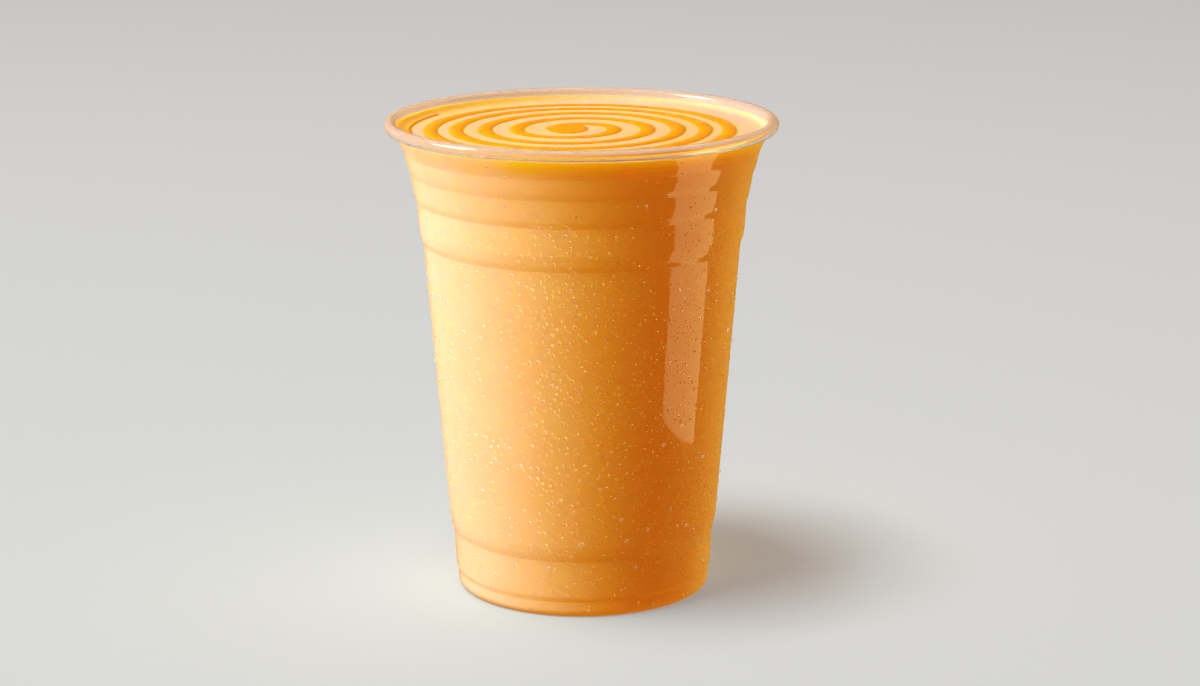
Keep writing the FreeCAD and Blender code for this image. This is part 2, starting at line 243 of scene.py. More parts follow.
def divided(points: Sequence[Point], longest: float) -> list[Point]:
    """Divides the long runs of an outline.

    Args:
        points: the outline.
        longest: the longest run left, in millimetres.

    Returns:
        The outline with more points on its long runs.
    """
    fine = [points[0]]
    for start, end in zip(points, points[1:]):
        count = max(1, math.ceil(math.dist(start, end) / longest))
        for k in range(1, count + 1):
            share = k / count
            fine.append((start[0] + (end[0] - start[0]) * share, start[1] + (end[1] - start[1]) * share))
    return fine


# ---------------------------------------------------------------- finishes

class NodeBoard:
    """The nodes of a material or of the world, laid out and joined in code."""

    def __init__(self, owner: bpy.types.Material | bpy.types.World) -> None:
        """Clears the owner's nodes."""
        self.owner = owner
        owner.use_nodes = True
        self.tree = owner.node_tree
        self.tree.nodes.clear()

    @classmethod
    def named(cls, name: str) -> "NodeBoard":
        """A board for a new material of that name."""
        return cls(bpy.data.materials.new(name))

    def add(self, kind: str, sockets: dict | None = None, **settings) -> bpy.types.Node:
        """Adds a node.

        Args:
            kind: the node's kind, without its ShaderNode prefix.
            sockets: a value or another node's socket for each of its inputs, by name or number.
            settings: the node's own properties.

        Returns:
            The node.
        """
        node = self.tree.nodes.new("ShaderNode" + kind)
        for key, value in settings.items():
            setattr(node, key, value)
        for key, value in (sockets or {}).items():
            if isinstance(value, bpy.types.NodeSocket):
                self.tree.links.new(value, node.inputs[key])
            else:
                node.inputs[key].default_value = value
        return node

    def place(self) -> bpy.types.NodeSocket:
        """The place on the piece, in its own coordinates."""
        return self.add("TexCoord").outputs["Object"]

    def noise(self, scale: float, detail: float = 2.0) -> bpy.types.NodeSocket:
        """A cloud of noise.

        Args:
            scale: clouds to the metre.
            detail: how many finer layers it has.

        Returns:
            The socket of its value, from 0 to 1.
        """
        return self.add("TexNoise", {"Vector": self.place(), "Scale": scale, "Detail": detail}).outputs[0]

    def spread(self, value: bpy.types.NodeSocket, low: float, high: float,
               to_low: float, to_high: float) -> bpy.types.NodeSocket:
        """Maps one range of a value to another, held at its ends.

        Args:
            value: the socket to map.
            low: the value that gives to_low.
            high: the value that gives to_high.
            to_low: the result at low.
            to_high: the result at high.

        Returns:
            The socket of the result.
        """
        sockets = {"Value": value, "From Min": low, "From Max": high, "To Min": to_low, "To Max": to_high}
        return self.add("MapRange", sockets).outputs["Result"]

    def clouds(self, scale: float, detail: float, first: float, second: float) -> bpy.types.NodeSocket:
        """Noise whose middle range runs from one value to another.

        Args:
            scale: clouds to the metre.
            detail: how many finer layers it has.
            first: the value in the hollows.
            second: the value on the crests.

        Returns:
            The socket of the value.
        """
        return self.spread(self.noise(scale, detail), 0.3, 0.7, first, second)

    def blend(self, share: bpy.types.NodeSocket, first, second) -> bpy.types.NodeSocket:
        """Blends two colours.

        Args:
            share: how much of the second there is.
            first: a colour or its socket.
            second: a colour or its socket.

        Returns:
            The socket of the colour.
        """
        return self.add("Mix", {0: share, 6: first, 7: second}, data_type="RGBA").outputs[2]

    def bump(self, height: bpy.types.NodeSocket, distance: float, strength: float) -> bpy.types.NodeSocket:
        """Turns a height into relief.

        Args:
            height: the socket of the height.
            distance: how high 1 stands, in millimetres.
            strength: how much of it counts.

        Returns:
            The socket of the normal.
        """
        sockets = {"Height": height, "Distance": distance * MM, "Strength": strength}
        return self.add("Bump", sockets).outputs["Normal"]

    def either(self, first: bpy.types.NodeSocket, second: bpy.types.NodeSocket) -> bpy.types.NodeSocket:
        """The larger of two values."""
        return self.add("Math", {0: first, 1: second}, operation="MAXIMUM").outputs[0]

    def mix(self, share: bpy.types.NodeSocket, first: bpy.types.NodeSocket,
            second: bpy.types.NodeSocket) -> bpy.types.NodeSocket:
        """Two shaders, mixed by the share of the second."""
        return self.add("MixShader", {0: share, 1: first, 2: second}).outputs[0]

    def finish(self, shader: bpy.types.Node, lets_lamps_through: bool = False) -> bpy.types.Material:
        """Joins a shader to the output.

        Args:
            shader: the surface's shader.
            lets_lamps_through: True for clear pieces, whose shadow is left out.

        Returns:
            The material.
        """
        surface = shader.outputs[0]
        if lets_lamps_through:
            path = self.add("LightPath")
            passing = self.either(path.outputs["Is Shadow Ray"], path.outputs["Is Diffuse Ray"])
            clear = self.add("BsdfTransparent").outputs[0]
            surface = self.mix(passing, surface, clear)
        self.add("OutputMaterial", {"Surface": surface})
        return self.owner


@dataclass(frozen=True)
class ClearPlastic:
    """Thin clear thermoformed plastic, glossy, fogged by cold, faintly milky in its rolled rim, with
    painted warmth there for warm surroundings seen through it.
    """

    tint: Colour = (0.985, 0.982, 0.97, 1)
    roll_milk_and_painted_warmth: Colour = (0.98, 0.87, 0.75, 1)
    refraction: float = 1.5
    clearest: float = 0.03
    foggiest: float = 0.09
    roll_starts: float = 117.2
    roll_clearness: float = 0.89

    def material(self) -> bpy.types.Material:
        """Makes the material."""
        board = NodeBoard.named("clear_plastic")
        fog = board.spread(board.noise(55, 3), 0.35, 0.7, self.clearest, self.foggiest)
        wave = board.bump(board.noise(45, 1), 0.25, 0.25)
        height = board.add("SeparateXYZ", {0: board.place()}).outputs["Z"]
        start, end = self.roll_starts * MM, (self.roll_starts + 1.5) * MM
        clearness = board.spread(height, start, end, 1.0, self.roll_clearness)
        # The roll's colour is milky, plus painted warmth that stands in for warm surroundings seen through
        # it.
        colour = board.blend(board.spread(height, start, end, 0.0, 1.0), self.tint, self.roll_milk_and_painted_warmth)
        shader = board.add("BsdfPrincipled", {
            "Base Color": colour, "Roughness": fog, "IOR": self.refraction,
            "Transmission Weight": clearness, "Normal": wave, "Specular IOR Level": 0.36,
        })
        return board.finish(shader, lets_lamps_through=True)


class Skin(Enum):
    """Where a face of the drink lies."""

    FREE = "free surface"
    AT_WALL = "against the wall"


@dataclass(frozen=True)
class LassiFinish:
    """Smooth yoghurt drink, pale mango yellow, with sauce that bleeds into it."""

    skin: Skin
    cream: Colour = (0.96, 0.74, 0.40, 1)
    paler: Colour = (0.97, 0.77, 0.44, 1)
    sauce: Colour = (0.98, 0.76, 0.01, 1)
    bleed: tuple[float, float, float] = (1.0, 0.7, 0.08)
    surface_bleed: float = 1.6
    wall_bleed: float = 5.0

    def material(self) -> bpy.types.Material:
        """Makes the material."""
        free = self.skin is Skin.FREE
        board = NodeBoard.named("lassi_surface" if free else "lassi")
        colour = board.blend(board.clouds(38, 3, 0.0, 1.0), self.cream, self.paler)
        tint = board.add("Attribute", attribute_name="mango").outputs["Fac"]
        colour = board.blend(tint, colour, self.sauce)
        rough = board.clouds(420, 2, 0.30, 0.42)
        grain = board.bump(board.noise(700, 3), 0.05, 0.35)
        shader = board.add("BsdfPrincipled", {
            "Base Color": colour, "Roughness": rough, "Normal": grain,
            "Subsurface Weight": 1.0, "Subsurface Radius": self.bleed,
            "Subsurface Scale": (self.surface_bleed if free else self.wall_bleed) * MM,
            "Specular IOR Level": 0.08 if free else 0.0,
        })
        return board.finish(shader)


@dataclass(frozen=True)
class SauceFinish:
    """Thick glossy mango sauce, a little darker towards the low edges of the ribbon."""

    level: float
    crown: float
    deep: Colour = (0.94, 0.43, 0.001, 1)
    edge: Colour = (0.90, 0.42, 0.001, 1)
    cloudy: Colour = (0.96, 0.48, 0.002, 1)

    def material(self) -> bpy.types.Material:
        """Makes the material."""
        board = NodeBoard.named("mango_sauce")
        height = board.add("SeparateXYZ", {0: board.place()}).outputs["Z"]
        inner = board.spread(height, self.level * MM, (self.level + 0.75 * self.crown) * MM, 0.0, 1.0)
        colour = board.blend(inner, self.edge, self.deep)
        colour = board.blend(board.clouds(160, 3, 0.0, 0.5), colour, self.cloudy)
        rough = board.clouds(260, 2, 0.12, 0.3)
        shader = board.add("BsdfPrincipled", {
            "Base Color": colour, "Roughness": rough,
            "Normal": board.bump(board.noise(300, 2), 0.08, 0.4),
            "Subsurface Weight": 0.6, "Subsurface Radius": (1.0, 0.45, 0.05),
            "Subsurface Scale": 1.0 * MM, "Specular IOR Level": 0.02,
        })
        return board.finish(shader)


class DropSize(Enum):
    """How a drop of condensation shows."""

    SMALL = "a milky bead with a bright gloss"
    LARGE = "clear, so that it bends what lies behind it"


@dataclass(frozen=True)
class WaterFinish:
    """Water of condensation."""

    size: DropSize
    refraction: float = 1.33
    bead_cover: float = 0.5
    bead_tint: Colour = (1.0, 0.92, 0.72, 1)
    bead_glow: float = 0.6
    drop_tint: Colour = (1.0, 0.97, 0.90, 1)

    def material(self) -> bpy.types.Material:
        """Makes the material."""
        large = self.size is DropSize.LARGE
        board = NodeBoard.named("water_drops" if large else "water_beads")
        shader = board.add("BsdfPrincipled", {
            "Base Color": self.drop_tint if large else self.bead_tint,
            "Roughness": board.clouds(80, 2, 0.02, 0.06),
            "IOR": self.refraction, "Transmission Weight": 0.85 if large else 0.0,
            "Alpha": 1.0 if large else self.bead_cover,
            "Normal": board.bump(board.noise(500, 1), 0.02, 0.3),
            "Subsurface Weight": 0.0 if large else 1.0,
            "Subsurface Radius": (1.0, 0.9, 0.7), "Subsurface Scale": self.bead_glow * MM,
            "Coat Weight": 1.0, "Coat Roughness": 0.08,
        })
        return board.finish(shader, lets_lamps_through=True)


@dataclass(frozen=True)
class PulpFinish:
    """Brownish mango fibre."""

    fibre: Colour = (0.52, 0.20, 0.02, 1)
    darker: Colour = (0.36, 0.12, 0.015, 1)

    def material(self) -> bpy.types.Material:
        """Makes the material."""
        board = NodeBoard.named("pulp")
        share = board.spread(board.noise(120), 0.4, 0.6, 0.0, 1.0)
        colour = board.blend(share, self.fibre, self.darker)
        return board.finish(board.add("BsdfPrincipled", {
            "Base Color": colour, "Roughness": 0.5, "Specular IOR Level": 0.1}))


@dataclass(frozen=True)
class FloorFinish:
    """Plain pale paper."""

    paper: Colour = (0.53, 0.60, 0.60, 1)
    glow: Colour = (0.08, 0.24, 0.27, 1)

    def material(self) -> bpy.types.Material:
        """Makes the material."""
        board = NodeBoard.named("floor")
        darker = (*(0.985 * part for part in self.paper[:3]), 1)
        colour = board.blend(board.clouds(3, 2, 0.0, 0.4), self.paper, darker)
        shader = board.add("BsdfPrincipled", {
            "Base Color": colour, "Roughness": 0.8, "Specular IOR Level": 0.0,
            "Normal": board.bump(board.noise(900, 2), 0.05, 0.1),
            "Emission Color": self.glow, "Emission Strength": 1.0,
        })
        return board.finish(shader)


# ---------------------------------------------------------------- the cup

@dataclass(frozen=True)
class Ledge:
    """A stacking shoulder of the cup.

    Each point says how far it lies in from the lip and down from the top.
    """

    root: Point
    crest: Point
    end: Point

    def corners(self, lip: float, top: float, crease: float, soft: float) -> list[Corner]:
        """Places its corners on a cup.

        Args:
            lip: the cup's outer radius at the lip.
            top: the cup's height.
            crease: the rounding at the root.
            soft: the rounding of the rest.

        Returns:
            Its three corners, from the root up.
        """
        points = ((self.root, crease), (self.crest, soft), (self.end, soft))
        return [Corner(lip - inward, top - down, rounding) for (inward, down), rounding in points]


@dataclass
class ThinWallCup:
    """Tapered tumbler with stacking shoulders, a raised base in a standing ring and a rolled rim."""

    rim_diameter: float = 98.0
    height: float = 120.2
    foot_diameter: float = 64.0
    base_lift: float = 3.0
    ring_width: float = 4.6
    wall: float = 0.6
    curl_radius: float = 1.5
    curl_turn: float = 290.0
    shoulder_radius: float = 3.0
    crease_radius: float = 0.8
    ledges: tuple[Ledge, ...] = (
        Ledge((6.85, 31.1), (6.25, 29.6), (5.8, 27.0)),
        Ledge((5.38, 20.3), (4.8, 18.8), (4.45, 17.0)),
        Ledge((3.8, 13.3), (3.2, 11.8), (2.65, 9.7)),
    )
    slices: int = 256

    @property
    def lip_out(self) -> float:
        """Outer radius of the wall where the rim begins to roll."""
        return self.rim_diameter / 2 - 2 * self.curl_radius + self.wall

    @property
    def lip_up(self) -> float:
        """Height of the centre of the rim's roll."""
        return self.height - self.curl_radius

    def outer_corners(self) -> list[Corner]:
        """Lays out the wall's outer face.

        Returns:
            Its corners, from the middle of the raised base to the lip.
        """
        foot, lip, top = self.foot_diameter / 2, self.lip_out, self.height
        crease, soft = self.crease_radius, self.shoulder_radius
        base = [
            Corner(0, self.base_lift), Corner(foot - self.ring_width - 1, self.base_lift, 1.2),
            Corner(foot - self.ring_width, 0, 1.2), Corner(foot, 0, 2.0),
        ]
        ankle = [
            Corner(foot, 3.9, 0.5), Corner(foot + 0.5, 5.1, 1.0), Corner(foot + 0.98, 14.6, crease),
            Corner(foot + 1.55, 16.2, soft), Corner(foot + 1.95, 18.4, soft),
        ]
        body = [corner for ledge in self.ledges for corner in ledge.corners(lip, top, crease, soft)]
        flare = [
            Corner(lip - 2.25, top - 7.9, soft), Corner(lip, top - 3.0, soft), Corner(lip, self.lip_up),
        ]
        return base + ankle + body + flare

    def rim_points(self, radius: float) -> list[Point]:
        """Rolls the rim.

        Args:
            radius: distance from the centre of the roll.

        Returns:
            Points from just past the lip, over the crest, to the rolled end.
        """
        centre_out = self.rim_diameter / 2 - self.curl_radius
        count = round(self.curl_turn / 9)
        turns = [math.radians(180 - self.curl_turn * k / count) for k in range(1, count + 1)]
        return [(centre_out + radius * math.cos(a), self.lip_up + radius * math.sin(a)) for a in turns]

    def wall_outline(self, depth: float = 0.0) -> list[Point]:
        """Draws the wall at a depth in it.

        Args:
            depth: how far inside the outer face, in millimetres.

        Returns:
            The points of the outline up to the lip.
        """
        return rounded(inset(self.outer_corners(), depth) if depth else self.outer_corners())

    def build(self) -> bpy.types.Object:
        """Builds the cup.

        Returns:
            The piece.
        """
        skin = divided(self.wall_outline(), 3.0) + self.rim_points(self.curl_radius - self.wall)
        piece = turn_on_lathe("plastic_cup", skin, self.slices)
        turn_faces_out(piece)
        apply_modifier(piece, "SOLIDIFY", thickness=self.wall * MM, offset=-1.0, use_even_offset=True)
        smooth_shade(piece, 50)
        piece.data.materials.append(ClearPlastic().material())
        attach(piece, "root")
        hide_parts("cup")
        return piece


# ---------------------------------------------------------------- the sauce

@dataclass(frozen=True)
class Station:
    """A place on the ribbon's middle line."""

    x: float
    y: float
    heading: float
    turn: float


@dataclass
class SauceSpiral:
    """Ribbon of sauce laid clockwise from a pool at the middle out to the wall."""

    level: float = 117.1
    crown: float = 0.3
    depth: float = 0.6
    width: float = 3.7
    half_turns: int = 10
    start_radius: float = 7.8
    last_radius: float = 42.57
    bulge: float = 2.5
    start_offset: float = 0.4
    tail_turn: float = 34.0
    pool_radius: float = 5.3
    pool_offset: float = -3.4
    pool_stretch: float = 1.3
    pool_back: float = 0.6
    step: float = 1.5

    def half_turn_radius(self, number: int) -> float:
        """Radius of a half-turn's middle line."""
        share = number / self.half_turns
        even = self.start_radius + (self.last_radius - self.start_radius) * share
        return even + 4 * self.bulge * share * (1 - share)

    def route(self) -> list[Station]:
        """Lays out the ribbon's middle line.

        Returns:
            Its stations, evenly spaced, from the pool to the tail.
        """
        stations = []
        centre = self.start_offset
        for number in range(self.half_turns + 1):
            radius = self.half_turn_radius(number)
            sweep = 180.0 if number < self.half_turns else self.tail_turn
            start = 180.0 if number % 2 == 0 else 0.0
            count = max(2, round(math.radians(sweep) * radius / self.step))
            for k in range(count):
                angle = math.radians(start - sweep * k / count)
                stations.append(Station(centre + radius * math.cos(angle), radius * math.sin(angle),
                                        angle, number + k / count))
            growth = self.half_turn_radius(number + 1) - radius
            centre += -growth if number % 2 == 0 else growth
        return stations

    def half_width(self, station: Station) -> float:
        """Half the ribbon's width at a station: wider at the sides, and unsteady as poured."""
        sides = 1 + 0.12 * math.cos(2 * station.heading)
        unsteady = 1 + 0.16 * noise.noise(Vector((station.x * 0.13, station.y * 0.13, station.turn)))
        ending = smooth_step(self.half_turns + 0.2, self.half_turns - 0.3, station.turn)
        return 0.5 * self.width * sides * unsteady * (0.25 + 0.75 * ending)

    def draw_ribbon(self, stations: Sequence[Station]) -> bpy.types.Object:
        """Draws the ribbon out straight, section by section, and lays it along its route.

        Args:
            stations: the ribbon's middle line.

        Returns:
            The ribbon.
        """
        clear_bench()
        middle = self.level + (self.crown - self.depth) / 2
        bpy.ops.mesh.primitive_circle_add(vertices=12, radius=MM, fill_type="NGON",
                                          location=(0, 0, middle * MM), rotation=(0, math.pi / 2, 0))
        width = self.half_width(stations[0])
        thickness = (self.crown + self.depth) / 2
        ribbon = name_piece("mango_sauce")
        bpy.ops.object.transform_apply(location=True, rotation=True, scale=True)
        with whole_mesh():
            bpy.ops.transform.resize(value=(1, width, thickness))
            for before, here in zip(stations, stations[1:]):
                run = math.dist((before.x, before.y), (here.x, here.y)) * MM
                bpy.ops.mesh.extrude_region_move(TRANSFORM_OT_translate={"value": (run, 0, 0)})
                bpy.ops.transform.resize(value=(1, self.half_width(here) / width, 1))
                width = self.half_width(here)
        face_outwards(ribbon)
        self.lay(ribbon, stations)
        return ribbon

    def lay(self, ribbon: bpy.types.Object, stations: Sequence[Station]) -> None:
        """Bends a straight ribbon along the route.

        Args:
            ribbon: the straight ribbon, which starts at the origin and runs along X.
            stations: the middle line that it follows.
        """
        curve = bpy.data.curves.new("route", "CURVE")
        curve.dimensions = "2D"
        spline = curve.splines.new("POLY")
        spline.points.add(len(stations) - 1)
        for point, station in zip(spline.points, stations):
            point.co = (station.x * MM, station.y * MM, 0, 1)
        route = bpy.data.objects.new("route", curve)
        bpy.context.scene.collection.objects.link(route)
        apply_modifier(ribbon, "CURVE", object=route, deform_axis="POS_X")
        bpy.data.objects.remove(route)

    def pour_pool(self) -> bpy.types.Object:
        """Pours the pool at the middle: a low crowned round with an unsteady edge.

        Returns:
            The pool.
        """
        clear_bench()
        place = (self.pool_offset * MM, 0, (self.level - self.depth) * MM)
        bpy.ops.mesh.primitive_circle_add(vertices=72, radius=self.pool_radius * MM, fill_type="NGON",
                                          location=place)
        pool = name_piece("pool")
        bpy.ops.object.transform_apply(location=True, rotation=True, scale=True)
        rise = (0, 0, (self.depth - 0.02) * MM)
        with whole_mesh():
            bpy.ops.mesh.extrude_region_move(TRANSFORM_OT_translate={"value": rise})
            for narrower, higher in ((0.25, 0.12), (0.5, 0.1), (1.0, 0.06)):
                bpy.ops.mesh.inset(thickness=narrower * MM, depth=higher * MM)
        face_outwards(pool)
        for vertex in pool.data.vertices:
            place = vertex.co / MM
            angle = math.atan2(place.y, place.x - self.pool_offset)
            swell = 1 + 0.05 * noise.noise(Vector((math.cos(angle), math.sin(angle), 4.0)) * 1.6)
            vertex.co.x = (self.pool_offset + (place.x - self.pool_offset) * swell) * MM
            vertex.co.y = (self.pool_back + place.y * swell * self.pool_stretch) * MM
        return pool

    def build(self) -> bpy.types.Object:
        """Builds the ribbon with its pool.

        Returns:
            The piece.
        """
        sauce = self.draw_ribbon(self.route())
        pool = self.pour_pool()
        apply_modifier(sauce, "BOOLEAN", operation="UNION", object=pool, solver="EXACT")
        bpy.data.objects.remove(pool)
        apply_modifier(sauce, "SUBSURF", levels=1, render_levels=1)
        smooth_shade(sauce, 60)
        sauce.data.materials.append(SauceFinish(self.level, self.crown).material())
        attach(sauce, "root")
        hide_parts("mango_swirl")
        return sauce


# ---------------------------------------------------------------- the drink

@dataclass
class PouredLassi:
    """The drink: it fills the cup into the wall's thickness and climbs a little at its edge."""

    cup: ThinWallCup
    sauce: SauceSpiral
    climb: float = 1.2
    climb_width: float = 0.8
    slices: int = 320
    ring_step: float = 0.5
    halo_share: float = 0.72
    halo_width: float = 0.45
    veil_share: float = 0.26
    smear_share: float = 0.6
    rinse_share: float = 0.12
    band_share: float = 0.8

    def outline(self) -> list[Point]:
        """Draws the drink's section.

        Returns:
            Its points from the middle of the base, up the wall and back over the surface to the axis.
        """
        depth = self.cup.wall / 2
        level = self.sauce.level
        wall = [p for p in self.cup.wall_outline(depth) if p[1] < level - 0.2]
        edge = self.cup.lip_out - depth
        side = divided(wall + [(edge, level + self.climb)], 2.0)
        count = round(edge / self.ring_step)
        surface = []
        for k in range(1, count + 1):
            out = edge * (1 - k / count)
            surface.append((out, level + self.climb * math.exp((out - edge) / self.climb_width)))
        return side + surface

    def mango_share(self, place: Vector,
                    near: Callable[[Vector], tuple[float, float]]) -> float:
        """How much sauce is mixed into the drink at a place.

        It bleeds out of the ribbon as a halo, veils the middle, is smeared at the back left, and runs
        down the wall under the rim, most in a band in front.

        Args:
            place: a point of the drink's skin, in millimetres.
            near: gives the distance to the ribbon's middle line and its half width there.

        Returns:
            A share from 0 to 1.
        """
        level = self.sauce.level
        out = math.hypot(place.x, place.y)
        round_angle = math.degrees(math.atan2(place.y, place.x)) % 360
        front_angle = math.degrees(math.atan2(place.x, -place.y))
        share = 0.0
        if place.z > level - 0.05:
            gap, half = near(place)
            share = self.halo_share * math.exp(-max(0.0, gap - half) / self.halo_width)
            share = max(share, self.veil_share * smooth_step(41, 30, out))
            behind_left = smooth_step(75, 125, round_angle) * smooth_step(215, 165, round_angle)
            share = max(share, self.smear_share * behind_left * smooth_step(38.5, 43.5, out))
        band = smooth_step(-30, -18, front_angle) * smooth_step(88, 66, front_angle)
        soft = 0.5 + 0.5 * noise.noise(Vector((front_angle * 0.08, 0, 0)))
        low = level - 2.4 - 0.8 * soft
        at_wall = smooth_step(self.cup.lip_out - 3.2, self.cup.lip_out - 1.4, out)
        run_down = smooth_step(low - 1.0, low + 0.6, place.z) * at_wall
        return max(share, (self.rinse_share + self.band_share * band) * run_down)

    def mark_mango(self, piece: bpy.types.Object) -> None:
        """Marks on every point of the drink how much sauce is mixed in there."""
        stations = self.sauce.route()
        lines = np.array([(s.x, s.y) for s in stations])
        halves = np.array([self.sauce.half_width(s) for s in stations])

        def near(place: Vector) -> tuple[float, float]:
            """Distance to the nearest station, and the half width there."""
            gaps = np.hypot(lines[:, 0] - place.x, lines[:, 1] - place.y)
            nearest = int(gaps.argmin())
            return float(gaps[nearest]), float(halves[nearest])

        attribute = piece.data.attributes.new("mango", "FLOAT", "POINT")
        shares = [self.mango_share(v.co / MM, near) for v in piece.data.vertices]
        attribute.data.foreach_set("value", shares)

    def build(self) -> bpy.types.Object:
        """Builds the drink.

        Returns:
            The piece.
        """
        piece = turn_on_lathe("lassi_drink", self.outline(), self.slices)
        self.mark_mango(piece)
        smooth_shade(piece, 50)
        piece.data.materials.append(LassiFinish(Skin.AT_WALL).material())
        piece.data.materials.append(LassiFinish(Skin.FREE).material())
        surface = (self.sauce.level - 0.1) * MM
        for face in piece.data.polygons:
            face.material_index = int(face.normal.z > 0.3 and face.center.z > surface)
        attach(piece, "root")
        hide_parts("lassi")
        return piece


# ---------------------------------------------------------------- condensation

@dataclass(frozen=True)
class DropKind:
    """One size of condensation drop."""

    name: str
    count: int
    smallest: float
    largest: float
    sides: int
    rings: int
    apart: float


@dataclass(frozen=True)
class Spot:
    """A place on the wall: degrees round the cup from its front, and height, with a width."""

    front_angle: float
    height: float
    width: float


FINE = DropKind("fine_condensation", 3800, 0.30, 0.50, 6, 2, 0.30)
MIDDLING = DropKind("condensation", 1800, 0.48, 0.85, 8, 3, 0.45)
LARGE = DropKind("large_condensation", 60, 0.85, 1.10, 14, 4, 0.80)
RUN_TOGETHER = (
    Spot(-0.5, 19.5, 1.5), Spot(18.5, 20.0, 1.4), Spot(16.0, 25.8, 1.1),
    Spot(-8.5, 31.2, 0.9), Spot(11.5, 43.5, 0.9), Spot(-2.5, 39.2, 0.9),
    Spot(33.0, 2.0, 1.0), Spot(25.5, 2.9, 0.8), Spot(60.5, 15.5, 0.7),
)


@dataclass
class WallScatter:
    """Sets many small things on the cup's wall and joins them as one piece."""

    cup: ThinWallCup
    usual_radius: float = 37.0
    cell: float = 2.0

    def wall_reader(self) -> Callable[[float], tuple[float, float]]:
        """Reads the wall.

        Returns:
            A function that gives the outer radius and the wall's slope at a height.
        """
        ankle = self.cup.foot_diameter / 2 - 1
        points = [p for p in self.cup.wall_outline() if p[1] > 1.2 and p[0] > ankle]
        heights, radii = [p[1] for p in points], [p[0] for p in points]

        def read(height: float) -> tuple[float, float]:
            """Radius and slope at a height."""
            below, here, above = np.interp([height - 0.2, height, height + 0.2], heights, radii)
            return float(here), float(above - below) / 0.4
        return read

    def cell_of(self, spot: Spot) -> tuple[int, int]:
        """The cell of the wall that a spot lies in."""
        along = math.radians(spot.front_angle) * self.usual_radius
        return round(along / self.cell), round(spot.height / self.cell)

    def is_free(self, spot: Spot, apart: float, grid: dict) -> bool:
        """Tells whether a spot keeps clear of the others.

        Args:
            spot: the new spot.
            apart: the gap that it keeps.
            grid: the spots so far, by cell.

        Returns:
            True where it does.
        """
        across, up = self.cell_of(spot)
        for i, j in product((-1, 0, 1), repeat=2):
            for other in grid.get((across + i, up + j), ()):
                along = math.radians(spot.front_angle - other.front_angle) * self.usual_radius
                gap = math.hypot(along, spot.height - other.height) - (spot.width + other.width) / 2
                if gap < apart:
                    return False
        return True

    def join(self, name: str, model: bpy.types.Object, spots: Sequence[Spot], depth: float,
             dice: random.Random) -> bpy.types.Object:
        """Sets a copy of a model on every spot and joins them.

        Args:
            name: the name of the piece.
            model: the thing of unit radius, standing on its base.
            spots: where the copies stand.
            depth: how far under the wall's outer face their bases lie.
            dice: the source of chance.

        Returns:
            The piece.
        """
        shape = np.array([vertex.co for vertex in model.data.vertices])
        faces = [tuple(face.vertices) for face in model.data.polygons]
        read = self.wall_reader()
        points, all_faces = [], []
        for number, spot in enumerate(spots):
            out, slope = read(spot.height)
            angle = math.radians(spot.front_angle - 90)
            normal = Vector((math.cos(angle), math.sin(angle), -slope)).normalized()
            along = Vector((-math.sin(angle), math.cos(angle), 0))
            up = normal.cross(along)
            foot = Vector((out * math.cos(angle), out * math.sin(angle), spot.height)) - normal * depth
            sag = 1 + 0.25 * dice.random() * smooth_step(0.4, 1.0, spot.width)
            axes = np.array([along * dice.uniform(0.88, 1.08), up * sag, normal * dice.uniform(0.85, 1.1)])
            points.append((np.array(foot) + shape @ axes * spot.width / 2) * MM)
            all_faces.extend(tuple(number * len(shape) + i for i in face) for face in faces)
        mesh = bpy.data.meshes.new(name)
        mesh.from_pydata(np.concatenate(points).tolist(), [], all_faces)
        piece = bpy.data.objects.new(name, mesh)
        bpy.context.scene.collection.objects.link(piece)
        bpy.data.objects.remove(model)
        face_outwards(piece)
        smooth_shade(piece, 60)
        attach(piece, "root")
        return piece


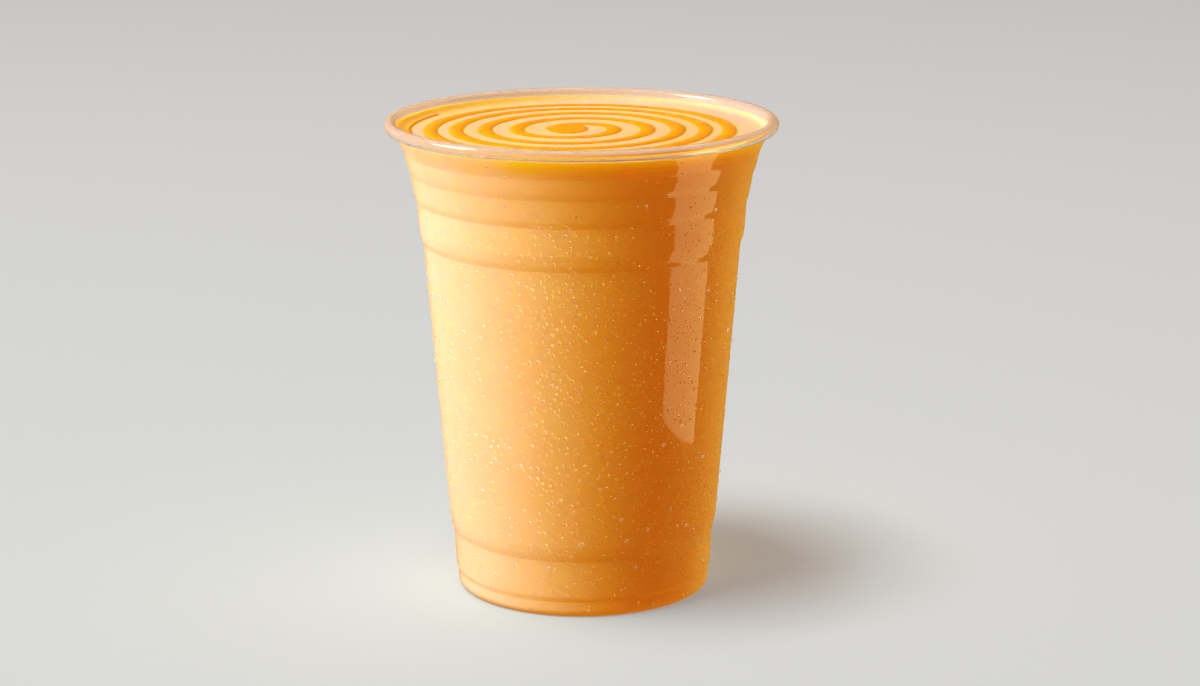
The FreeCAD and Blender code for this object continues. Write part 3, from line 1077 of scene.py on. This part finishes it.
@dataclass
class Condensation(WallScatter):
    """Drops of water on the outside of the cold cup, thickest in a patch in front and one behind.

    The patches' places are degrees round the cup from its front.
    """

    front_patch: float = 24.0
    back_patch: float = 200.0
    cloud_size: float = 22.0
    flatness: float = 0.48
    lowest: float = 1.5
    highest: float = 116.5
    lift: float = 0.005

    def model_drop(self, kind: DropKind) -> bpy.types.Object:
        """Models one drop of unit radius, standing on its base.

        Args:
            kind: which says how fine the drop is.

        Returns:
            The drop.
        """
        clear_bench()
        bpy.ops.mesh.primitive_uv_sphere_add(segments=kind.sides, ring_count=2 * kind.rings, radius=1)
        drop = name_piece("drop")
        with whole_mesh():
            bpy.ops.mesh.bisect(plane_co=(0, 0, 0), plane_no=(0, 0, 1), use_fill=True, clear_inner=True)
            bpy.ops.mesh.select_all(action="SELECT")
            bpy.ops.transform.resize(value=(1, 1, self.flatness))
        face_outwards(drop)
        return drop

    def wetness(self, front_angle: float, height: float) -> float:
        """How thickly drops stand at a place on the wall, from 0 to 1."""
        low = 0.4 + 0.6 * smooth_step(6, 20, height)
        high = 0.08 + 0.92 * smooth_step(112, 82, height)
        turn, size = math.radians(front_angle), self.usual_radius
        front = smooth_step(0.5, 0.97, math.cos(turn - math.radians(self.front_patch)))
        back = smooth_step(0.3, 0.95, math.cos(turn - math.radians(self.back_patch)))
        spread = 0.22 + 0.78 * max(front, 0.7 * back)
        place = Vector((math.cos(turn), math.sin(turn), height / size)) * size
        cloud = noise.noise(place / self.cloud_size)
        return low * high * spread * (0.55 + 0.45 * smooth_step(-0.3, 0.4, cloud))

    def places(self, kind: DropKind, dice: random.Random, grid: dict,
               given: Sequence[Spot]) -> list[Spot]:
        """Picks where the drops of one kind stand.

        Args:
            kind: their size and number.
            dice: the source of chance.
            grid: the spots so far, by cell, which the new ones keep clear of and join.
            given: spots that are set already.

        Returns:
            The spots.
        """
        found = list(given)
        for spot in found:
            grid.setdefault(self.cell_of(spot), []).append(spot)
        for _ in range(40 * kind.count):
            if len(found) >= kind.count:
                break
            front_angle, height = dice.uniform(-180, 180), dice.uniform(self.lowest, self.highest)
            if dice.random() > self.wetness(front_angle, height):
                continue
            width = kind.smallest + (kind.largest - kind.smallest) * dice.random() ** 2
            spot = Spot(front_angle, height, width)
            if self.is_free(spot, kind.apart, grid):
                found.append(spot)
                grid.setdefault(self.cell_of(spot), []).append(spot)
        return found

    def build(self) -> list[bpy.types.Object]:
        """Builds every kind of drop.

        Returns:
            The pieces.
        """
        dice = random.Random(LIFE)
        beads, drops = WaterFinish(DropSize.SMALL).material(), WaterFinish(DropSize.LARGE).material()
        grid, pieces = {}, []
        sizes = ((LARGE, RUN_TOGETHER, drops), (MIDDLING, (), beads), (FINE, (), beads))
        for kind, given, water in sizes:
            spots = self.places(kind, dice, grid, given)
            piece = self.join(kind.name, self.model_drop(kind), spots, -self.lift, dice)
            piece.data.materials.append(water)
            pieces.append(piece)
        return pieces


@dataclass
class PulpSpecks(WallScatter):
    """Tiny flecks of mango fibre that lie against the inside of the wall."""

    count: int = 34
    smallest: float = 0.22
    largest: float = 0.5
    lowest: float = 10.0
    highest: float = 112.0
    in_front: Spot = Spot(-1.5, 103.2, 0.55)

    def build(self) -> bpy.types.Object:
        """Builds the flecks.

        Returns:
            The piece.
        """
        dice = random.Random(LIFE + 1)
        clear_bench()
        bpy.ops.mesh.primitive_uv_sphere_add(segments=8, ring_count=6, radius=1)
        fleck = name_piece("fleck")
        with whole_mesh():
            bpy.ops.transform.resize(value=(1, 0.6, 0.25))
        spots = [self.in_front]
        for _ in range(self.count):
            front_angle, height = dice.uniform(-180, 180), dice.uniform(self.lowest, self.highest)
            spots.append(Spot(front_angle, height, dice.uniform(self.smallest, self.largest)))
        piece = self.join("pulp_specks", fleck, spots, self.cup.wall / 2, dice)
        piece.data.materials.append(PulpFinish().material())
        return piece


# ---------------------------------------------------------------- the studio

class LampUse(Enum):
    """What a lamp is for."""

    LIGHT = "lights matt things"
    GLOSS = "shows in glossy things alone"


class Lit(Enum):
    """What a lamp falls on."""

    ALL = "everything"
    PART = "the cup and all that is in and on it"
    CUP = "the cup"
    DROPS = "the condensation"
    FLOOR = "the floor"


@dataclass(frozen=True)
class Softbox:
    """A flat soft lamp. It is square where no height is given."""

    name: str
    place: tuple[float, float, float]
    width: float
    brightness: float
    colour: tuple[float, float, float] = (1.0, 1.0, 1.0)
    height: float | None = None
    aim: tuple[float, float, float] = (0.0, 0.0, 60.0)
    use: LampUse = LampUse.LIGHT
    lit: Lit = Lit.PART

    def hang(self) -> bpy.types.Object:
        """Hangs the lamp.

        Returns:
            The lamp.
        """
        clear_bench()
        bpy.ops.object.light_add(type="AREA", location=tuple(c * MM for c in self.place))
        lamp = name_piece(self.name)
        way = Vector(self.aim) - Vector(self.place)
        lamp.rotation_euler = way.to_track_quat("-Z", "Y").to_euler()
        height = self.height or self.width
        lamp.data.shape = "RECTANGLE"
        lamp.data.size = self.width * MM
        lamp.data.size_y = height * MM
        lamp.data.energy = self.brightness * math.pi * self.width * height * MM * MM
        lamp.data.color = self.colour
        lamp.visible_camera = False
        lamp.visible_diffuse = self.use is not LampUse.GLOSS
        lamp.visible_glossy = self.use is LampUse.GLOSS
        lamp.visible_transmission = self.use is LampUse.GLOSS
        return lamp


LAMPS = (
    Softbox("warm key", (-862, -348, 645), 560, 12.6, (1.0, 0.95, 0.16)),
    Softbox("cool side light", (-930, 32, 600), 600, 17.0, (0.20, 0.27, 1.0)),
    Softbox("back fill", (-560, 760, 260), 600, 3.2, (0.8, 1.0, 0.5)),
    Softbox("right fill", (452, 380, 160), 400, 4.0, (1.0, 0.88, 0.20)),
    Softbox("floor lamp", (-672, -388, 2950), 1100, 17.0, lit=Lit.FLOOR),
    Softbox("card", (120, -36, 64.5), 72, 2.0, (1.0, 0.9, 0.4), 119, (0, -36, 64.5),
            use=LampUse.GLOSS, lit=Lit.ALL),
    Softbox("rim glint", (-800, -30, 640), 420, 11.0, (1.0, 0.93, 0.8), use=LampUse.GLOSS, lit=Lit.CUP),
    Softbox("drop glint", (520, -700, 640), 700, 9.0, (1.0, 0.86, 0.55), use=LampUse.GLOSS, lit=Lit.DROPS),
    Softbox("left gleam", (-300, 560, 60), 500, 0.2, (1.0, 0.85, 0.6), use=LampUse.GLOSS, lit=Lit.ALL),
)


@dataclass(frozen=True)
class Studio:
    """Plain pale floor, soft lamps and the warm light that coloured paper throws back.

    The drink's lamps and the floor's lamp are kept apart, so that the floor stays plain.
    """

    floor_size: float = 8000.0
    background: Colour = (0.80, 0.77, 0.72, 1)
    sky_bounce: Colour = (0.48, 0.075, 0.0, 1)
    table_bounce: Colour = (0.62, 0.19, 0.01, 1)
    gleam: Colour = (1.0, 0.52, 0.10, 1)
    gleam_level: float = 0.6

    def lay_floor(self) -> bpy.types.Object:
        """Lays the floor.

        Returns:
            The floor.
        """
        clear_bench()
        bpy.ops.mesh.primitive_plane_add(size=self.floor_size * MM)
        floor = name_piece("floor")
        floor.data.materials.append(FloorFinish().material())
        floor.visible_diffuse = False
        floor.visible_glossy = False
        return floor

    def set_world(self) -> None:
        """Sets the world: pale where it is seen, warm where it lights or gleams."""
        world = bpy.data.worlds.new("studio")
        bpy.context.scene.world = world
        board = NodeBoard(world)

        def sky(colour: Colour, level: float = 1.0) -> bpy.types.NodeSocket:
            """An even sky."""
            return board.add("Background", {"Color": colour, "Strength": level}).outputs[0]

        rays = board.add("LightPath").outputs
        way = board.add("SeparateXYZ", {0: board.add("TexCoord").outputs["Generated"]})
        upward = board.spread(way.outputs["Z"], -0.2, 0.2, 0.0, 1.0)
        light = board.mix(upward, sky(self.table_bounce), sky(self.sky_bounce))
        light = board.mix(rays["Is Glossy Ray"], light, sky(self.gleam, self.gleam_level))
        seen = board.either(rays["Is Camera Ray"], rays["Is Transmission Ray"])
        board.add("OutputWorld", {"Surface": board.mix(seen, light, sky(self.background))})

    def hang_lamps(self, floor: bpy.types.Object, pieces: Sequence[bpy.types.Object]) -> None:
        """Hangs the lamps, each of which falls on its own group of pieces.

        Args:
            floor: the floor.
            pieces: the pieces of the drink and its cup.
        """
        groups = {
            Lit.PART: pieces,
            Lit.CUP: [piece for piece in pieces if piece.name == "plastic_cup"],
            Lit.DROPS: [piece for piece in pieces if piece.name.endswith("condensation")],
            Lit.FLOOR: [floor],
        }
        linked = {}
        for lit, lit_pieces in groups.items():
            linked[lit] = bpy.data.collections.new(lit.value)
            for piece in lit_pieces:
                linked[lit].objects.link(piece)
        for box in LAMPS:
            lamp = box.hang()
            if box.lit in linked:
                lamp.light_linking.receiver_collection = linked[box.lit]

    def build(self, pieces: Sequence[bpy.types.Object]) -> None:
        """Sets the whole studio.

        Args:
            pieces: the pieces of the drink and its cup.
        """
        floor = self.lay_floor()
        self.set_world()
        self.hang_lamps(floor, pieces)
        bpy.context.scene.view_settings.view_transform = "Standard"


@dataclass(frozen=True)
class Viewpoint:
    """The camera: a long lens, a little above the rim."""

    distance: float = 743.0
    height: float = 244.7
    aside: float = 4.43
    down: float = 13.79
    roll: float = 0.14
    lens: float = 90.69

    def set(self) -> bpy.types.Object:
        """Sets the camera up.

        Returns:
            The camera.
        """
        clear_bench()
        bpy.ops.object.camera_add(location=(self.aside * MM, -self.distance * MM, self.height * MM))
        camera = name_piece("camera")
        camera.rotation_euler = (Matrix.Rotation(math.radians(90 - self.down), 3, "X")
                                 @ Matrix.Rotation(math.radians(-self.roll), 3, "Z")).to_euler()
        camera.data.lens = self.lens
        camera.data.sensor_width = 36
        camera.data.clip_start = 0.01
        camera.data.clip_end = 30
        bpy.context.scene.camera = camera
        return camera


def report(piece: bpy.types.Object) -> None:
    """Logs a piece's name, number of faces and size."""
    size = tuple(round(side / MM, 1) for side in piece.dimensions)
    log.info("%s: %d faces, %s mm", piece.name, len(piece.data.polygons), size)


def main() -> None:
    """Builds every piece in turn and reports it."""
    logging.basicConfig(level=logging.INFO, format="%(message)s")
    Viewpoint().set()
    cup = ThinWallCup()
    sauce = SauceSpiral()
    pieces = [cup.build(), sauce.build(), PouredLassi(cup, sauce).build()]
    pieces += [*Condensation(cup).build(), PulpSpecks(cup).build()]
    for piece in pieces:
        report(piece)
    Studio().build(pieces)


if __name__ == "__main__":
    main()
